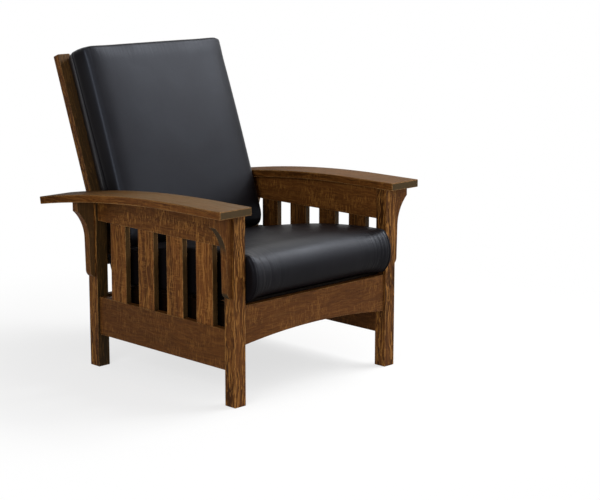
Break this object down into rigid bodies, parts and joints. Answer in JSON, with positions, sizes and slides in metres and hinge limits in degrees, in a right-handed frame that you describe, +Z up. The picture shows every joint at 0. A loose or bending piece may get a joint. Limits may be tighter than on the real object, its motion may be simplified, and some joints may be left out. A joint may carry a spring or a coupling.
{
  "type": "mission reclining armchair",
  "caption": "Reclining armchair with square legs, bowed flat arms over coved brackets, slatted sides, an arched front rail, leather cushions and a slatted back held by a rod on notched racks.",
  "frame": {"origin": "on the floor, midway across the chair and midway between its front and rear extremes", "axes": "+Z up, the chair faces -Y, +X to the right when looking along +Y"},
  "size_m": [0.882, 0.9986, 1.06],
  "materials": {
    "stained_oak": "satin varnished stained quartersawn oak",
    "black_leather": "satin black leather",
    "steel": "brushed"
  },
  "bodies": {
    "frame": {"arm_left": "stained_oak", "side_top_rail_left": "stained_oak", "side_bottom_rail_left": "stained_oak", "rack_left": "stained_oak", "seat_frame_left": "stained_oak", "leg_front_left": "stained_oak", "leg_rear_left": "stained_oak", "corbel_front_left": "stained_oak", "corbel_rear_left": "stained_oak", "side_slat_left_1": "stained_oak", "side_slat_left_2": "stained_oak", "side_slat_left_3": "stained_oak", "side_slat_left_4": "stained_oak", "arm_right": "stained_oak", "side_top_rail_right": "stained_oak", "side_bottom_rail_right": "stained_oak", "rack_right": "stained_oak", "seat_frame_right": "stained_oak", "leg_front_right": "stained_oak", "leg_rear_right": "stained_oak", "corbel_front_right": "stained_oak", "corbel_rear_right": "stained_oak", "side_slat_right_1": "stained_oak", "side_slat_right_2": "stained_oak", "side_slat_right_3": "stained_oak", "side_slat_right_4": "stained_oak", "front_rail": "stained_oak", "rear_rail": "stained_oak", "front_cleat": "stained_oak", "rear_bearer": "stained_oak", "seat_frame_front": "stained_oak", "seat_frame_rear": "stained_oak", "seat_slat_1": "stained_oak", "seat_slat_2": "stained_oak", "seat_slat_3": "stained_oak", "seat_slat_4": "stained_oak", "seat_slat_5": "stained_oak", "seat_slat_6": "stained_oak", "seat_cushion": "black_leather", "pivot_bolts": "steel", "pivot_spacers": "steel", "rack_screws": "steel", "cleat_screws": "steel", "seat_slat_screws": "steel"},
    "back": {"back_stile_left": "stained_oak", "back_stile_right": "stained_oak", "crest_rail": "stained_oak", "back_bottom_rail": "stained_oak", "back_slat_1": "stained_oak", "back_slat_2": "stained_oak", "back_slat_3": "stained_oak", "back_slat_4": "stained_oak", "back_cushion": "black_leather"},
    "rod": {"support_rod": "steel"}
  },
  "joints": [
    {"name": "back_hinge", "type": "hinge", "parent": "frame", "child": "back", "pos_m": [0, 0.24411, 0.348], "axis": [-1, 0, 0], "range_deg": [0, 10]},
    {"name": "rod_slide", "type": "slide", "parent": "frame", "child": "rod", "axis": [0, 0.9877, -0.1561], "range_m": [0, 0.0445]}
  ],
  "couplings": [
    {"joint": "rod_slide", "follows": "back_hinge", "m_per_rad": 0.25496}
  ]
}
